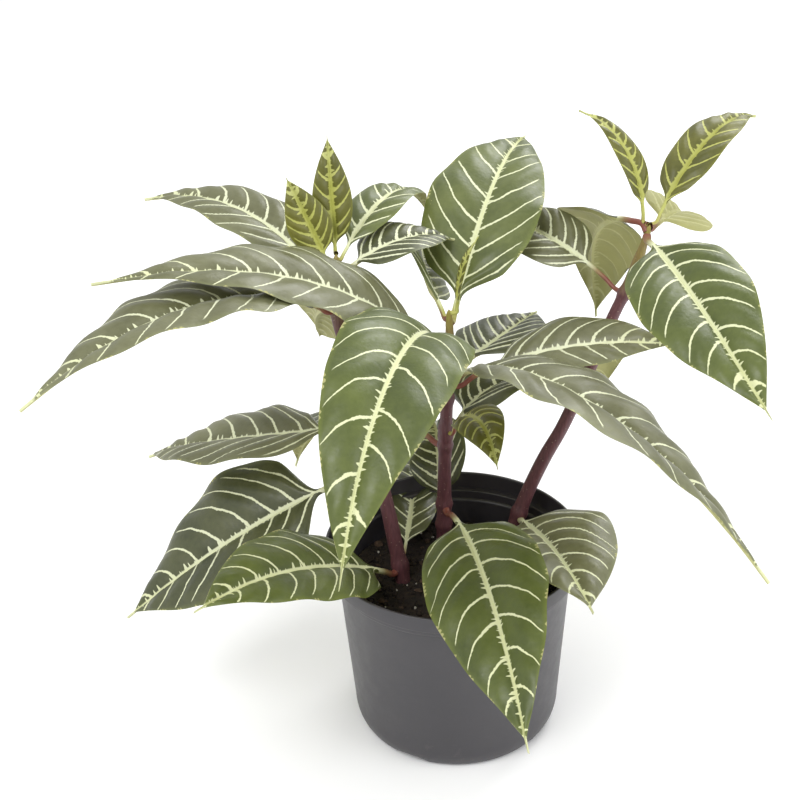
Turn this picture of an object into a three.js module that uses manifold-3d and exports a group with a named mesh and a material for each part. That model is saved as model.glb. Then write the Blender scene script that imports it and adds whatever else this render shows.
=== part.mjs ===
// A potted zebra plant (Aphelandra): a moulded nursery pot, its soil, three stems and their leaves.
// Millimetres, +Z up. The origin is the centre of the pot's underside. +X is the plant's right,
// -Y its front.
import * as THREE from 'three';
import { mergeVertices } from 'three/addons/utils/BufferGeometryUtils.js';
import Module from 'manifold-3d';

const wasm = await Module();
wasm.setup();

// ---------- Driving dimensions ----------
const GAP = 0.3; // clearance between pieces that touch on the real plant
const SIDES = 50; // facets around the pot and the soil

const POT_HEIGHT = 120;
const POT_RIM_RADIUS = 75; // a 6 inch (150 mm) nursery pot
const POT_BAND_HEIGHT = 10; // the stiffening band under the lip
const POT_SHOULDER_RADIUS = 68.5; // outside of the wall just under the band
const POT_FOOT_RADIUS = 61.5; // outside of the wall where its bottom rounding starts
const POT_FOOT_ROUNDING = 14;
const POT_BASE_RADIUS = 55; // flat part of the underside
const POT_WALL = 1.8;
const POT_FLOOR = 2.4;
const POT_STEP_DEPTH = 14; // how far the wide mouth reaches down inside
const DRAIN_COUNT = 4; // notches where the wall meets the floor
const DRAIN_WIDTH = 24;
const DRAIN_HEIGHT = 5.2;
const DRAIN_REACH = 24; // from under the floor out past the wall
const DRAIN_FIRST_ANGLE = 60; // degrees from +X

const SOIL_TOP = 90; // 30 mm below the lip
const SOIL_DOME = 2.5; // the middle stands this much higher than the edge

const STEM_START = 58; // the stems are rooted down to this height
const STEM_ROOT_RADIUS = 4.6;
const STEM_TOP_RADIUS = 2.9;
const STEM_SIDES = 10;
const STEM_RINGS = 14;

const PETIOLE_RADIUS = 1.9;
const SLIMMEST_STALK = 12; // a small leaf's petiole radius is its width over this
const BLADE_THICKNESS = 0.8;
const RIB_DEPTH = 1.7; // how far the midrib stands out under the blade
const BLADE_OPENS = 0.15; // share of the blade over which the round petiole flattens into it
const BLADE_FOLD = 7; // degrees that each half of a blade rises from its midrib
const OUTLINE_BASE = 0.72; // exponents of the blade's outline: smaller is blunter
const OUTLINE_TIP = 1.1;

// ---------- Colours ----------
const POT_COLOUR = '#4c4a4f';
const SOIL_COLOUR = '#2a211b';
const STEM_COLOUR = '#523437';
const LEAF_COLOUR = '#4b5f33';

// ---------- Helpers ----------
const radians = THREE.MathUtils.degToRad;

// One closed body: coincident vertices merged, triangles that shrank to a line taken out.
function closed(geometry) {
  geometry.deleteAttribute('normal');
  geometry.deleteAttribute('uv');
  const merged = mergeVertices(geometry, 1e-4);
  const corner = merged.index.array;
  const kept = [];
  for (let i = 0; i < corner.length; i += 3) {
    const [a, b, c] = [corner[i], corner[i + 1], corner[i + 2]];
    if (a !== b && b !== c && c !== a) kept.push(a, b, c);
  }
  merged.setIndex(kept);
  return merged;
}

function toManifold(geometry) {
  const shape = closed(geometry);
  return new wasm.Manifold(new wasm.Mesh({
    numProp: 3,
    vertProperties: new Float32Array(shape.attributes.position.array),
    triVerts: new Uint32Array(shape.index.array),
  }));
}

function fromManifold(solid) {
  const mesh = solid.getMesh();
  const geometry = new THREE.BufferGeometry();
  geometry.setAttribute('position', new THREE.BufferAttribute(mesh.vertProperties, 3));
  geometry.setIndex(new THREE.BufferAttribute(mesh.triVerts, 1));
  return geometry;
}

// Turns a closed outline of [radius, height] points about the Z axis.
function turned(outline) {
  const points = outline.map(([radius, height]) => new THREE.Vector2(radius, height));
  return new THREE.LatheGeometry(points, SIDES).rotateX(Math.PI / 2);
}

// A closed skin through rings of points, closed at each end by a fan about the ring's middle. The
// four-sided faces of the sides in crossed are split along their other diagonal.
function lofted(ringAt, sides, rings, crossed = []) {
  const points = [];
  const corners = [];
  for (let ring = 0; ring < rings; ring += 1) points.push(...ringAt(ring));
  const at = (ring, side) => ring * sides + (side % sides);
  for (let ring = 0; ring < rings - 1; ring += 1) {
    for (let side = 0; side < sides; side += 1) {
      const [a, b] = [at(ring, side), at(ring, side + 1)];
      const [d, c] = [at(ring + 1, side), at(ring + 1, side + 1)];
      if (crossed.includes(side)) corners.push(a, b, d, b, c, d);
      else corners.push(a, b, c, a, c, d);
    }
  }
  for (const ring of [0, rings - 1]) {
    const middle = new THREE.Vector3();
    for (let side = 0; side < sides; side += 1) middle.addScaledVector(points[at(ring, side)], 1 / sides);
    points.push(middle);
    const centre = points.length - 1;
    for (let side = 0; side < sides; side += 1) {
      const edge = [at(ring, side), at(ring, side + 1)];
      if (ring === 0) edge.reverse();
      corners.push(centre, ...edge);
    }
  }
  const geometry = new THREE.BufferGeometry().setFromPoints(points);
  geometry.setIndex(corners);
  return geometry;
}

const plant = new THREE.Group();

function add(name, geometry, colour, roughness) {
  const material = new THREE.MeshStandardMaterial({ color: colour, roughness, metalness: 0 });
  const mesh = new THREE.Mesh(geometry, material);
  mesh.name = name;
  plant.add(mesh);
}

// ---------- Pot ----------
// The outline runs up the outside, over the lip and down the inside. The bottom corner is a
// quarter of an ellipse, drawn again one wall thickness further in.
function cornerArc(radius, baseRadius, bottom, top, steps) {
  const points = [];
  for (let i = 0; i <= steps; i += 1) {
    const turn = (Math.PI / 2) * (i / steps);
    const out = baseRadius + (radius - baseRadius) * Math.sin(turn);
    points.push([out, top - (top - bottom) * Math.cos(turn)]);
  }
  return points;
}

function potOutline() {
  const bandBottom = POT_HEIGHT - POT_BAND_HEIGHT;
  const stepBottom = POT_HEIGHT - POT_STEP_DEPTH;
  const outerCorner = cornerArc(POT_FOOT_RADIUS, POT_BASE_RADIUS, 0, POT_FOOT_ROUNDING, 4);
  const innerCorner = cornerArc(
    POT_FOOT_RADIUS - POT_WALL, POT_BASE_RADIUS - POT_WALL, POT_FLOOR, POT_FOOT_ROUNDING, 3);
  return [
    [0, 0],
    ...outerCorner,
    [POT_SHOULDER_RADIUS, bandBottom],
    [POT_RIM_RADIUS - 0.6, bandBottom],
    [POT_RIM_RADIUS, bandBottom + 1],
    [POT_RIM_RADIUS, POT_HEIGHT - 1],
    [POT_RIM_RADIUS - 1, POT_HEIGHT],
    [POT_RIM_RADIUS - POT_WALL, POT_HEIGHT - 0.4],
    [POT_RIM_RADIUS - POT_WALL - 0.8, stepBottom],
    [POT_SHOULDER_RADIUS - POT_WALL, stepBottom - 1.5],
    ...innerCorner.reverse(),
    [0, POT_FLOOR],
  ];
}

function pot() {
  let solid = toManifold(turned(potOutline()));
  for (let i = 0; i < DRAIN_COUNT; i += 1) {
    const notch = new THREE.BoxGeometry(DRAIN_REACH, DRAIN_WIDTH, DRAIN_HEIGHT * 2);
    notch.translate(POT_BASE_RADIUS + 5, 0, 0);
    notch.rotateZ(radians(DRAIN_FIRST_ANGLE + (i * 360) / DRAIN_COUNT));
    solid = solid.subtract(toManifold(notch));
  }
  return fromManifold(solid);
}

// ---------- Stems ----------
// Each stem is a smooth curve through a few heights, nearly straight, leaning as it grew.
function stemLine(points) {
  return new THREE.CatmullRomCurve3(points.map((point) => new THREE.Vector3(...point)));
}

const centreStem = stemLine([
  [-8, 39, STEM_START], [-5, 38, 90], [-3, 37, 150], [-1, 34, 195], [1, 33, 228], [1, 32, 254],
]);
const leftStem = stemLine([
  [-26, -3, STEM_START], [-30, 2, 90], [-39, 10, 148], [-48, 20, 195], [-58, 30, 236],
  [-62, 35, 258], [-60, 39, 287],
]);
const rightStem = stemLine([
  [24, 30, STEM_START], [33, 34, 90], [52, 40, 140], [68, 42, 172], [93, 42, 238],
  [104, 42, 266], [112, 40, 297],
]);

function stemRadius(share) {
  return THREE.MathUtils.lerp(STEM_ROOT_RADIUS, STEM_TOP_RADIUS, share);
}

// A stem's solid, thickened by extra where it is used to cut its own socket in the soil.
function stemSolid(line, extra) {
  const frames = line.computeFrenetFrames(STEM_RINGS - 1);
  const ringAt = (place) => {
    const share = place / (STEM_RINGS - 1);
    const middle = line.getPointAt(share);
    const radius = stemRadius(share) + extra;
    const points = [];
    for (let i = 0; i < STEM_SIDES; i += 1) {
      const turn = (Math.PI * 2 * i) / STEM_SIDES;
      const point = middle.clone();
      point.addScaledVector(frames.normals[place], radius * Math.cos(turn));
      point.addScaledVector(frames.binormals[place], radius * Math.sin(turn));
      points.push(point);
    }
    return points;
  };
  return lofted(ringAt, STEM_SIDES, STEM_RINGS);
}

// The point of a stem's curve at one height.
function stemAt(line, height) {
  let low = 0;
  let high = 1;
  for (let i = 0; i < 30; i += 1) {
    const middle = (low + high) / 2;
    if (line.getPointAt(middle).z < height) low = middle;
    else high = middle;
  }
  return { point: line.getPointAt(low), radius: stemRadius(low) };
}

// ---------- Soil ----------
function soil() {
  const side = (POT_SHOULDER_RADIUS - POT_FOOT_RADIUS) / (POT_HEIGHT - POT_BAND_HEIGHT - POT_FOOT_ROUNDING);
  const inside = POT_WALL + GAP * 2;
  const topRadius = POT_FOOT_RADIUS + side * (SOIL_TOP - POT_FOOT_ROUNDING) - inside;
  const outline = [
    [0, POT_FLOOR + GAP],
    [POT_BASE_RADIUS - inside - DRAIN_HEIGHT * 2, POT_FLOOR + GAP],
    [POT_FOOT_RADIUS - inside - 1, POT_FOOT_ROUNDING + 2],
    [topRadius, SOIL_TOP],
    [topRadius * 0.6, SOIL_TOP + SOIL_DOME * 0.7],
    [0, SOIL_TOP + SOIL_DOME],
  ];
  let solid = toManifold(turned(outline));
  for (const line of [centreStem, leftStem, rightStem]) {
    solid = solid.subtract(toManifold(stemSolid(line, GAP)));
  }
  return fromManifold(solid);
}

// ---------- Leaves ----------
// A leaf is one piece: petiole, then blade. Along it, its pitch falls from rise by droop, and its
// heading turns by sweep. The blade leans about its midrib by roll, and by twist more at the tip.
const PETIOLE_PLACES = [0, 0.5, 0.92];
const BLADE_PLACES = [0.03, 0.1, 0.2, 0.32, 0.45, 0.58, 0.7, 0.81, 0.9, 0.965];
const WALK_STEPS = 72;

function outlineShare(place) {
  const widest = OUTLINE_BASE / (OUTLINE_BASE + OUTLINE_TIP);
  return (place / widest) ** OUTLINE_BASE * ((1 - place) / (1 - widest)) ** OUTLINE_TIP;
}

// Direction of the leaf's run, its across direction and its upper side at one share of its length.
function leafFrame(shape, share) {
  const pitch = radians(shape.rise - shape.droop * share ** shape.bend);
  const heading = radians(shape.toward + shape.sweep * share);
  const roll = radians(shape.roll + shape.twist * share);
  const level = new THREE.Vector3(-Math.sin(heading), Math.cos(heading), 0);
  const along = new THREE.Vector3(
    Math.cos(pitch) * Math.cos(heading), Math.cos(pitch) * Math.sin(heading), Math.sin(pitch));
  const upper = new THREE.Vector3().crossVectors(along, level);
  const across = level.clone().multiplyScalar(Math.cos(roll)).addScaledVector(upper, Math.sin(roll));
  upper.multiplyScalar(Math.cos(roll)).addScaledVector(level, -Math.sin(roll));
  return { along, across, upper };
}

// One cross-section, walked round once: under the blade from one margin to the other, then back
// over the top. On the petiole it is round, on the blade a shallow V with the midrib under it.
const SECTION_POINTS = 9;
const SECTION_TOP_SIDES = [4, 5, 6, 7];

function leafSection(halfWidth, stalk, bladeShare, ribShare) {
  const mix = THREE.MathUtils.lerp;
  const lift = Math.tan(radians(BLADE_FOLD)) * halfWidth * bladeShare;
  const round = 1 - bladeShare;
  const inner = mix(0.7, 0.5, bladeShare) * halfWidth;
  const rib = Math.min(stalk * mix(0.45, 0.3, bladeShare), inner * 0.7);
  const under = mix(stalk * 0.7, BLADE_THICKNESS - lift / 2, bladeShare);
  const keel = mix(stalk, RIB_DEPTH * ribShare, bladeShare);
  const top = mix(stalk * 0.7, lift / 2, bladeShare);
  return [
    [-inner, -under], [-rib, -keel], [rib, -keel], [inner, -under], [halfWidth, lift],
    [inner, top], [0, stalk * round], [-inner, top], [-halfWidth, lift],
  ];
}

function leafSolid(line, height, shape) {
  const length = shape.petiole + shape.blade;
  const stalk = Math.min(PETIOLE_RADIUS, shape.width / SLIMMEST_STALK);
  const node = stemAt(line, height);
  const standOff = node.radius + 2.5 * GAP + stalk * Math.abs(Math.sin(radians(shape.rise)));
  const outward = new THREE.Vector3(Math.cos(radians(shape.toward)), Math.sin(radians(shape.toward)), 0);
  // The midline, walked in short straight steps from just outside the stem.
  const walk = [node.point.clone().addScaledVector(outward, standOff)];
  for (let i = 0; i < WALK_STEPS; i += 1) {
    const { along } = leafFrame(shape, (i + 0.5) / WALK_STEPS);
    walk.push(walk[i].clone().addScaledVector(along, length / WALK_STEPS));
  }
  const petioleShare = shape.petiole / length;
  const shares = [
    ...PETIOLE_PLACES.map((place) => petioleShare * place),
    ...BLADE_PLACES.map((place) => THREE.MathUtils.lerp(petioleShare, 1, place)),
  ];
  const ringAt = (place) => {
    const share = shares[place];
    const step = Math.min(share * WALK_STEPS, WALK_STEPS - 1e-6);
    const middle = walk[Math.floor(step)].clone().lerp(walk[Math.floor(step) + 1], step % 1);
    const onBlade = Math.max(0, (share - petioleShare) / (1 - petioleShare));
    const slimmest = stalk * (1 - onBlade * 0.6);
    const halfWidth = Math.max(slimmest, (shape.width / 2) * outlineShare(onBlade));
    const bladeShare = THREE.MathUtils.smoothstep(onBlade, 0, BLADE_OPENS);
    const { across, upper } = leafFrame(shape, share);
    return leafSection(halfWidth, stalk, bladeShare, 1 - onBlade * 0.5).map(([side, up]) => (
      middle.clone().addScaledVector(across, side).addScaledVector(upper, up)));
  };
  return lofted(ringAt, SECTION_POINTS, shares.length, SECTION_TOP_SIDES);
}

function leaf(name, line, height, shape) {
  add(name, leafSolid(line, height, shape), LEAF_COLOUR, 0.45);
}

// ---------- The plant ----------
add('pot', pot(), POT_COLOUR, 0.5);
add('soil', soil(), SOIL_COLOUR, 0.95);
add('centre_stem', stemSolid(centreStem, 0), STEM_COLOUR, 0.6);
add('left_stem', stemSolid(leftStem, 0), STEM_COLOUR, 0.6);
add('right_stem', stemSolid(rightStem, 0), STEM_COLOUR, 0.6);

// Angles are in degrees: toward is the compass direction seen from above, from +X round to +Y.
// The leaves of the centre stem, from its tip down.
leaf('centre_top_leaf_young', centreStem, 252, {
  toward: 8, rise: 88, droop: 30, bend: 1.4, sweep: 1,
  petiole: 4, blade: 41, width: 10, roll: 7, twist: 1,
});
leaf('centre_top_leaf_back', centreStem, 246, {
  toward: 115, rise: 42, droop: 60, bend: 0.7, sweep: -40,
  petiole: 11, blade: 79, width: 45, roll: 56, twist: -3,
});
leaf('centre_top_leaf_large', centreStem, 244, {
  toward: 68, rise: 43, droop: 57, bend: 1.5, sweep: 3,
  petiole: 12, blade: 152, width: 68, roll: 2, twist: 6,
});
leaf('centre_leaf_left_long', centreStem, 218, {
  toward: 209, rise: 65, droop: 68, bend: 0.8, sweep: -13,
  petiole: 17, blade: 198, width: 64, roll: -31, twist: 40,
});
leaf('centre_leaf_front_left', centreStem, 216, {
  toward: 255, rise: 70, droop: 135, bend: 0.9, sweep: -5,
  petiole: 28, blade: 212, width: 67, roll: -22, twist: 18,
});
leaf('centre_leaf_back_right', centreStem, 213, {
  toward: 46, rise: 5, droop: 12, bend: 1.6, sweep: 12,
  petiole: 17, blade: 69, width: 55, roll: -6, twist: -2,
});
leaf('centre_leaf_front_right_long', centreStem, 210, {
  toward: 304, rise: 52, droop: 102, bend: 0.7, sweep: 21,
  petiole: 20, blade: 215, width: 68, roll: -2, twist: -35,
});
leaf('centre_leaf_right', centreStem, 204, {
  toward: 354, rise: 39, droop: 38, bend: 0.7, sweep: -12,
  petiole: 24, blade: 104, width: 47, roll: 9, twist: 7,
});
leaf('centre_leaf_back', centreStem, 194, {
  toward: 92, rise: 13, droop: 107, bend: 1.1, sweep: 2,
  petiole: 20, blade: 150, width: 62, roll: -12, twist: 0,
});
leaf('centre_lower_leaf_olive', centreStem, 174, {
  toward: 298, rise: 62, droop: 95, bend: 1.1, sweep: -21,
  petiole: 21, blade: 68, width: 28, roll: 16, twist: 1,
});
leaf('centre_lower_leaf_right', centreStem, 169, {
  toward: 47, rise: 44, droop: 97, bend: 1.3, sweep: -32,
  petiole: 13, blade: 69, width: 65, roll: -17, twist: 1,
});
leaf('centre_lower_leaf_back', centreStem, 161, {
  toward: 132, rise: 12, droop: 83, bend: 1.1, sweep: 0,
  petiole: 20, blade: 150, width: 60, roll: 0, twist: 0,
});
leaf('centre_base_leaf_front', centreStem, 119, {
  toward: 282, rise: 30, droop: 58, bend: 0.7, sweep: -5,
  petiole: 30, blade: 167, width: 68, roll: 0, twist: 39,
});
leaf('centre_base_leaf_upright', centreStem, 105, {
  toward: 93, rise: 69, droop: 95, bend: 1.2, sweep: -2,
  petiole: 14, blade: 66, width: 41, roll: -36, twist: -1,
});

// The leaves of the left stem, from its tip down.
leaf('left_top_leaf_upright', leftStem, 286, {
  toward: 96, rise: 78, droop: 4, bend: 1, sweep: 0,
  petiole: 3, blade: 59, width: 22, roll: 0, twist: 0,
});
leaf('left_top_leaf_young', leftStem, 283, {
  toward: 165, rise: 68, droop: 2, bend: 1, sweep: 0,
  petiole: 3, blade: 47, width: 24, roll: -62, twist: 0,
});
leaf('left_leaf_curled', leftStem, 282, {
  toward: 58, rise: 32, droop: 93, bend: 1.5, sweep: 4,
  petiole: 8, blade: 104, width: 30, roll: 6, twist: -6,
});
leaf('left_leaf_right', leftStem, 275, {
  toward: 22, rise: 32, droop: 61, bend: 1.2, sweep: 8,
  petiole: 9, blade: 63, width: 45, roll: 0, twist: 0,
});
leaf('left_leaf_back', leftStem, 260, {
  toward: 129, rise: 49, droop: 67, bend: 0.8, sweep: 24,
  petiole: 20, blade: 127, width: 47, roll: 1, twist: -2,
});
leaf('left_leaf_front_long', leftStem, 256, {
  toward: 231, rise: 38, droop: 65, bend: 1.1, sweep: -15,
  petiole: 20, blade: 183, width: 70, roll: -4, twist: 22,
});
leaf('left_leaf_under', leftStem, 255, {
  toward: 113, rise: -23, droop: 24, bend: 0.7, sweep: -28,
  petiole: 12, blade: 75, width: 50, roll: 43, twist: 4,
});
leaf('left_lower_leaf', leftStem, 189, {
  toward: 182, rise: -6, droop: 28, bend: 1.6, sweep: -43,
  petiole: 17, blade: 128, width: 65, roll: 3, twist: -3,
});
leaf('left_lower_leaf_large', leftStem, 162, {
  toward: 183, rise: -17, droop: 25, bend: 0.7, sweep: -1,
  petiole: 30, blade: 142, width: 83, roll: -41, twist: 29,
});
leaf('left_base_leaf_upright', leftStem, 99, {
  toward: 79, rise: 20, droop: 31, bend: 0.7, sweep: 13,
  petiole: 14, blade: 100, width: 32, roll: 3, twist: -1,
});
leaf('left_base_leaf_over_rim', leftStem, 99, {
  toward: 227, rise: 37, droop: 29, bend: 1.4, sweep: 9,
  petiole: 17, blade: 154, width: 60, roll: -18, twist: -1,
});

// The leaves of the right stem, from its tip down.
leaf('right_top_leaf_narrow', rightStem, 300, {
  toward: 125, rise: 84, droop: 81, bend: 1.3, sweep: 12,
  petiole: 9, blade: 67, width: 18, roll: 0, twist: 0,
});
leaf('right_top_leaf_pointed', rightStem, 300, {
  toward: 40, rise: 56, droop: 80, bend: 1.2, sweep: 12,
  petiole: 10, blade: 99, width: 30, roll: 0, twist: 0,
});
leaf('right_leaf_hanging', rightStem, 295, {
  toward: 122, rise: 3, droop: 83, bend: 0.7, sweep: -62,
  petiole: 24, blade: 120, width: 54, roll: 32, twist: -4,
});
leaf('right_leaf_back_pale', rightStem, 293, {
  toward: 50, rise: 7, droop: 56, bend: 1.2, sweep: 27,
  petiole: 11, blade: 58, width: 44, roll: 23, twist: -2,
});
leaf('right_leaf_front_large', rightStem, 289, {
  toward: 277, rise: 13, droop: 38, bend: 0.7, sweep: 14,
  petiole: 10, blade: 144, width: 60, roll: 17, twist: 6,
});
leaf('right_leaf_left', rightStem, 255, {
  toward: 131, rise: 26, droop: 34, bend: 1, sweep: 0,
  petiole: 24, blade: 80, width: 40, roll: -22, twist: 0,
});
leaf('right_leaf_back', rightStem, 196, {
  toward: 77, rise: 11, droop: 100, bend: 1.1, sweep: 8,
  petiole: 20, blade: 135, width: 56, roll: -4, twist: 0,
});
leaf('right_base_leaf_front', rightStem, 111, {
  toward: 285, rise: 22, droop: 30, bend: 1.2, sweep: -1,
  petiole: 4, blade: 111, width: 77, roll: 18, twist: -38,
});

export default plant;
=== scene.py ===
# %% [markdown]
# # A potted zebra plant
# The plant is an Aphelandra in a moulded nursery pot. Its looks are built around a fixed frame
# of plain solids, one for each stem and leaf. Every finer piece is made where its solid
# stands, so the frame gives all the places and this lesson adds shape and surface.

# %% Load the frame
import math

import bmesh
import bpy
import numpy as np
from mathutils import Matrix, Vector, noise


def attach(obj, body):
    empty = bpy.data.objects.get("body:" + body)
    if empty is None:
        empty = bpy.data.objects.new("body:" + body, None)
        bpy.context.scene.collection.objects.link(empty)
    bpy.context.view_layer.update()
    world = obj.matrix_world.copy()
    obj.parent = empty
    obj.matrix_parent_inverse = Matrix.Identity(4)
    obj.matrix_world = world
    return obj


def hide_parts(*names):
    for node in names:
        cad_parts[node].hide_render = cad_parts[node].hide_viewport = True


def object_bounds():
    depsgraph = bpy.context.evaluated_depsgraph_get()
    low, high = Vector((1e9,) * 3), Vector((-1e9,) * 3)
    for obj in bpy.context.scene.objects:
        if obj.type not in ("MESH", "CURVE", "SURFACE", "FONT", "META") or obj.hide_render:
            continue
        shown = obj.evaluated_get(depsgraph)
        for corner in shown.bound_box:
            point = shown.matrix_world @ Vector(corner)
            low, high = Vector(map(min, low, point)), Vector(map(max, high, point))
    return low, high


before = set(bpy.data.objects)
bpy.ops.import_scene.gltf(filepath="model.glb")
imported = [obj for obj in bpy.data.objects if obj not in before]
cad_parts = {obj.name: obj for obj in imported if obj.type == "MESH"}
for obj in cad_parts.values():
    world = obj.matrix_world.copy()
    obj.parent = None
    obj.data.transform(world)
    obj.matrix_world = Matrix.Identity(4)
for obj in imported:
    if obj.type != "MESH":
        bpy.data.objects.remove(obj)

MM = 0.001
SEED = 11
frame_low, frame_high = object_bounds()
size_mm = [round((high - low) / MM) for low, high in zip(frame_low, frame_high)]
print("frame nodes:", len(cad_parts), "size in mm:", size_mm)

# %% [markdown]
# ## The camera
# It looks at the plant from the front, tilted 30 degrees down, from 0.9 m away through a long
# lens, which keeps the perspective gentle. The camera's own axes are worked out from its tilt
# and roll, because then it aims exactly where it should without a constraint.

# %% Place the camera
TILT = math.radians(30)
ROLL = math.radians(-2.1)
DISTANCE = 0.88
AIM = Vector((-0.028, 0.0, 0.2155))
LENS = 72  # mm, for a sensor 36 mm wide
SENSOR = 36


def place_camera():
    ahead = Vector((0, math.cos(TILT), -math.sin(TILT)))
    level = Vector((1, 0, 0))
    upward = Vector((0, math.sin(TILT), math.cos(TILT)))
    right = level * math.cos(ROLL) + upward * math.sin(ROLL)
    above = upward * math.cos(ROLL) - level * math.sin(ROLL)
    camera = bpy.data.objects.new("camera", bpy.data.cameras.new("camera"))
    camera.data.lens = LENS
    camera.data.sensor_width = SENSOR
    turn = Matrix((right, above, -ahead)).transposed().to_4x4()
    camera.matrix_world = Matrix.Translation(AIM - ahead * DISTANCE) @ turn
    bpy.context.scene.collection.objects.link(camera)
    bpy.context.scene.camera = camera
    return camera


print("camera at", [round(v, 3) for v in place_camera().location])

# %% [markdown]
# ## Colours and nodes
# Colours are written as the sRGB codes that a paint chart uses, and Blender's shaders want
# linear light, so one function turns one into the other. One more function adds a node: it
# sets the node's own settings, then gives each input a value or a link.

# %% Colour and node helpers


def linear(code):
    """A colour code such as #4b5f33 as linear red, green, blue and an alpha of 1."""
    parts = [int(code[i:i + 2], 16) / 255 for i in (1, 3, 5)]
    return [p / 12.92 if p <= 0.04045 else ((p + 0.055) / 1.055) ** 2.4 for p in parts] + [1]


def add_node(material, kind, inputs=None, **settings):
    """Adds one shader node. Each input takes a value, or a node or socket to link from."""
    made = material.node_tree.nodes.new("ShaderNode" + kind)
    for name, value in settings.items():
        setattr(made, name, value)
    for name, value in (inputs or {}).items():
        if isinstance(value, bpy.types.Node):
            value = value.outputs[0]
        if isinstance(value, bpy.types.NodeSocket):
            material.node_tree.links.new(value, made.inputs[name])
        else:
            made.inputs[name].default_value = value
    return made


def new_material(name):
    """An empty node material with its shader, and that shader."""
    material = bpy.data.materials.new(name)
    material.use_nodes = True
    return material, material.node_tree.nodes["Principled BSDF"]


print("linear leaf green:", [round(v, 3) for v in linear("#4b5f33")])

# %% [markdown]
# ## Floor and light
# A plant is shown on a plain pale sweep under soft studio lamps. One broad plane is the floor.
# Three large area lamps make soft shadows: a key over the left front, a lower fill on
# the right, and one behind that rims the pot. A pale world fills what they leave. Colours are
# shown without a film curve, so that the pale floor comes out white and the greens stay clear.

# %% Lay the floor
FLOOR_HALF = 6.0  # metres, so that its edge is out of view


def floor_material():
    material, shader = new_material("floor_matte_paper")
    mottle = add_node(material, "TexNoise", {"Scale": 3.0, "Detail": 2.0})
    tone = add_node(material, "Mix", {
        0: mottle, 6: linear("#fafafa"), 7: linear("#fdfdfc")}, data_type="RGBA")
    material.node_tree.links.new(tone.outputs[2], shader.inputs["Base Color"])
    shader.inputs["Roughness"].default_value = 0.9
    return material


def lay_floor():
    mesh = bpy.data.meshes.new("floor")
    half = FLOOR_HALF
    corners = [(-half, -half, 0), (half, -half, 0), (half, half, 0), (-half, half, 0)]
    mesh.from_pydata(corners, [], [(0, 1, 2, 3)])
    mesh.materials.append(floor_material())
    floor = bpy.data.objects.new("floor", mesh)
    bpy.context.scene.collection.objects.link(floor)
    return floor


print("floor:", lay_floor().name)

# %% Hang the lamps
LAMP_SIZE = 1.0
LAMP_TARGET = Vector((0, 0, 0.15))


def hang_lamp(name, place, watts):
    """A square soft lamp that points at the middle of the plant."""
    lamp = bpy.data.lights.new(name, "AREA")
    lamp.size = LAMP_SIZE
    lamp.energy = watts
    holder = bpy.data.objects.new(name, lamp)
    holder.location = place
    holder.rotation_euler = (LAMP_TARGET - Vector(place)).to_track_quat("-Z", "Y").to_euler()
    bpy.context.scene.collection.objects.link(holder)
    return holder


hang_lamp("key_lamp", (-0.7, -0.9, 1.5), 17)
hang_lamp("fill_lamp", (1.3, -0.6, 0.9), 8)
hang_lamp("back_lamp", (0.7, 1.2, 1.3), 16)

bpy.context.scene.view_settings.view_transform = "Standard"
world = bpy.data.worlds.new("studio")
bpy.context.scene.world = world
world.use_nodes = True
world.node_tree.nodes["Background"].inputs["Color"].default_value = linear("#fbfcff")
world.node_tree.nodes["Background"].inputs["Strength"].default_value = 0.8

# %% [markdown]
# ## Turning arrays into pieces
# Most pieces are grids of points worked out with numpy. A mesh takes them as lists of points
# and faces. Each piece then rides on the plant's one body and stands for its plain solid,
# which is hidden.

# %% Piece helpers


def new_mesh(name, points, faces, materials, smooth_angle=60):
    mesh = bpy.data.meshes.new(name)
    mesh.from_pydata([tuple(p) for p in points], [], faces)
    for material in materials:
        mesh.materials.append(material)
    mesh.shade_smooth()
    mesh.set_sharp_from_angle(angle=math.radians(smooth_angle))
    return mesh


def show(name, mesh, slot, *stands_for):
    """Puts a mesh into the scene as a piece of the plant."""
    piece = bpy.data.objects.new(name, mesh)
    bpy.context.scene.collection.objects.link(piece)
    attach(piece, "root")
    if stands_for:
        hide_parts(*stands_for)
    return piece


def tube_faces(rings, sides, start=0):
    """Quads between rings of points that follow one another; start is the first point's number."""
    faces = []
    for i in range(rings - 1):
        for j in range(sides):
            a = start + i * sides + j
            b = start + i * sides + (j + 1) % sides
            faces.append((a, b, b + sides, a + sides))
    return faces


# %% [markdown]
# ## Reading a solid's rings
# Each stem and leaf solid is a skin over rings of points, closed by a fan at each end. The
# middle point of a fan is the only one with as many neighbours as a ring has points, so it is
# easy to find. Stepping outwards from it gives ring after ring.

# %% Read rings from a solid


def welded(name):
    """Points of a frame node and each point's neighbours, with doubled points joined."""
    shape = bmesh.new()
    shape.from_mesh(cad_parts[name].data)
    bmesh.ops.remove_doubles(shape, verts=shape.verts, dist=0.005 * MM)
    shape.verts.ensure_lookup_table()
    points = np.array([v.co[:] for v in shape.verts]) / MM
    near = [[e.other_vert(v).index for e in v.link_edges] for v in shape.verts]
    shape.free()
    return points, near


def in_order(members, near):
    """The points of one ring, walked round by its own edges."""
    members = set(members)
    walk = [min(members)]
    while len(walk) < len(members):
        onward = [k for k in near[walk[-1]] if k in members and k not in walk]
        walk.append(onward[0])
    return walk


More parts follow.
